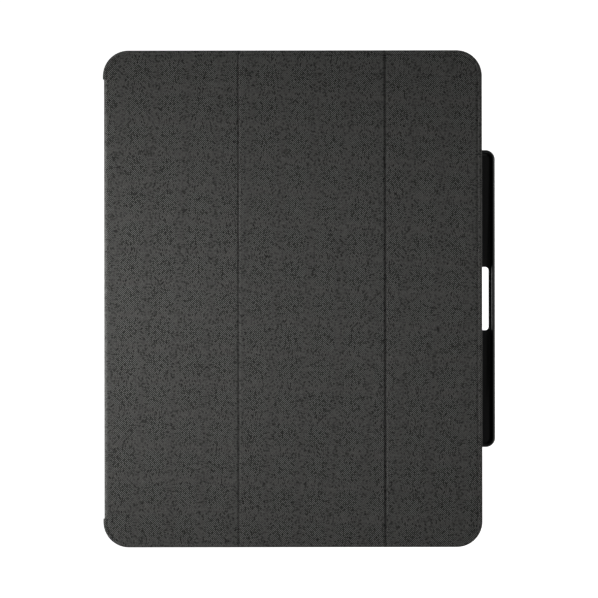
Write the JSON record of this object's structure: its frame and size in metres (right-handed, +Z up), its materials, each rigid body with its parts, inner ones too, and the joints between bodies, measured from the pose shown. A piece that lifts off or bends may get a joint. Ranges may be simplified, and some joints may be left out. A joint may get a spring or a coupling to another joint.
{
  "type": "tablet keyboard case",
  "caption": "Tri-fold fabric folio for a large tablet with a stylus tray along its free edge and a detachable wireless keyboard held inside the cover.",
  "frame": {"origin": "on the shell's back face, under the centre of the tablet bay, with the closed case lying on its back", "axes": "+Z up out of the cover, +X from the spine to the stylus tray, +Y along the spine to the camera end"},
  "size_m": [0.2281, 0.289, 0.0176],
  "materials": {
    "cover_fabric": "heather charcoal woven polyester",
    "lining": "brushed microfibre",
    "board": "grey fibre board",
    "back_plate": "fine textured hard plastic",
    "bumper_tpu": "satin black flexible plastic",
    "tray_tpu": "glossy black flexible plastic",
    "steel": "thin sheet",
    "magnet": "nickel plated",
    "keyboard_case": "fine matt moulded plastic",
    "keycap": "matt moulded plastic",
    "membrane": "polyester film",
    "dome_rubber": "silicone",
    "battery_foil": "foil pouch",
    "circuit_board": "green solder mask",
    "switch_body": "stamped can",
    "light_window": "clear light pipe",
    "bumper_pad": "soft silicone",
    "screw_steel": "black zinc"
  },
  "bodies": {
    "shell": {"back_plate": "back_plate", "bumper_frame": "bumper_tpu", "stylus_tray": "tray_tpu", "camera_ring": "bumper_tpu", "back_flange_fabric": "cover_fabric", "stand_keeper_strip": "steel"},
    "volume_up_button": {"volume_up_cover": "bumper_tpu"},
    "volume_down_button": {"volume_down_cover": "bumper_tpu"},
    "power_button": {"power_button_cover": "bumper_tpu"},
    "spine": {"spine_lining": "lining", "spine_stiffener": "board", "spine_fabric": "cover_fabric"},
    "inner_panel": {"inner_panel_fabric": "cover_fabric", "inner_panel_board": "board", "inner_panel_lining": "lining"},
    "middle_panel": {"middle_panel_fabric": "cover_fabric", "middle_panel_board": "board", "middle_panel_lining": "lining", "keyboard_holding_magnets": "magnet"},
    "outer_panel": {"outer_panel_fabric": "cover_fabric", "outer_panel_board": "board", "outer_panel_lining": "lining", "closure_magnets": "magnet", "wake_magnet": "magnet"},
    "keyboard": {"keyboard_deck": "keyboard_case", "keyboard_base": "keyboard_case", "key_support_plate": "steel", "key_membrane": "membrane", "key_domes": "dome_rubber", "keyboard_battery": "battery_foil", "control_board": "circuit_board", "charge_socket": "steel", "power_switch_body": "switch_body", "status_lights": "light_window", "dock_magnets": "magnet", "screen_bumpers": "bumper_pad", "keyboard_screws": "screw_steel"},
    "power_switch": {"power_switch_knob": "keycap"},
    "function_keys": {"function_keys": "keycap"},
    "number_keys": {"number_keys": "keycap"},
    "upper_letter_keys": {"upper_letter_keys": "keycap"},
    "home_keys": {"home_keys": "keycap"},
    "lower_letter_keys": {"lower_letter_keys": "keycap"},
    "modifier_keys": {"modifier_keys": "keycap"},
    "space_bar": {"space_bar": "keycap"},
    "arrow_keys": {"arrow_keys": "keycap"}
  },
  "joints": [
    {"name": "back_hinge", "type": "hinge", "parent": "shell", "child": "spine", "pos_m": [-0.10935, 0, 0.0009], "axis": [0, -1, 0], "range_deg": [0, 90]},
    {"name": "cover_hinge", "type": "hinge", "parent": "spine", "child": "inner_panel", "pos_m": [-0.10935, 0, 0.017], "axis": [0, -1, 0], "range_deg": [0, 179]},
    {"name": "crease_inner", "type": "hinge", "parent": "inner_panel", "child": "middle_panel", "pos_m": [-0.03155, 0, 0.0176], "axis": [0, -1, 0], "range_deg": [0, 120]},
    {"name": "crease_outer", "type": "hinge", "parent": "middle_panel", "child": "outer_panel", "pos_m": [0.05385, 0, 0.0176], "axis": [0, -1, 0], "range_deg": [0, 120]},
    {"name": "keyboard_slide", "type": "slide", "parent": "middle_panel", "child": "keyboard", "axis": [0, 1, 0], "range_m": [0, 0.3]},
    {"name": "switch_slide", "type": "slide", "parent": "keyboard", "child": "power_switch", "axis": [0, 1, 0], "range_m": [0, 0.003]},
    {"name": "volume_up_press", "type": "slide", "parent": "shell", "child": "volume_up_button", "axis": [-1, 0, 0], "range_m": [0, 0.0005], "stiffness_N_per_m": 3000},
    {"name": "volume_down_press", "type": "slide", "parent": "shell", "child": "volume_down_button", "axis": [-1, 0, 0], "range_m": [0, 0.0005], "stiffness_N_per_m": 3000},
    {"name": "power_press", "type": "slide", "parent": "shell", "child": "power_button", "axis": [0, -1, 0], "range_m": [0, 0.0005], "stiffness_N_per_m": 3000},
    {"name": "function_keys_press", "type": "slide", "parent": "keyboard", "child": "function_keys", "axis": [0, 0, 1], "range_m": [0, 0.001], "stiffness_N_per_m": 600, "deforming": ["key_domes"]},
    {"name": "number_keys_press", "type": "slide", "parent": "keyboard", "child": "number_keys", "axis": [0, 0, 1], "range_m": [0, 0.001], "stiffness_N_per_m": 600, "deforming": ["key_domes"]},
    {"name": "upper_keys_press", "type": "slide", "parent": "keyboard", "child": "upper_letter_keys", "axis": [0, 0, 1], "range_m": [0, 0.001], "stiffness_N_per_m": 600, "deforming": ["key_domes"]},
    {"name": "home_keys_press", "type": "slide", "parent": "keyboard", "child": "home_keys", "axis": [0, 0, 1], "range_m": [0, 0.001], "stiffness_N_per_m": 600, "deforming": ["key_domes"]},
    {"name": "lower_keys_press", "type": "slide", "parent": "keyboard", "child": "lower_letter_keys", "axis": [0, 0, 1], "range_m": [0, 0.001], "stiffness_N_per_m": 600, "deforming": ["key_domes"]},
    {"name": "modifier_keys_press", "type": "slide", "parent": "keyboard", "child": "modifier_keys", "axis": [0, 0, 1], "range_m": [0, 0.001], "stiffness_N_per_m": 600, "deforming": ["key_domes"]},
    {"name": "space_bar_press", "type": "slide", "parent": "keyboard", "child": "space_bar", "axis": [0, 0, 1], "range_m": [0, 0.001], "stiffness_N_per_m": 600, "deforming": ["key_domes"]},
    {"name": "arrow_keys_press", "type": "slide", "parent": "keyboard", "child": "arrow_keys", "axis": [0, 0, 1], "range_m": [0, 0.001], "stiffness_N_per_m": 600, "deforming": ["key_domes"]}
  ]
}
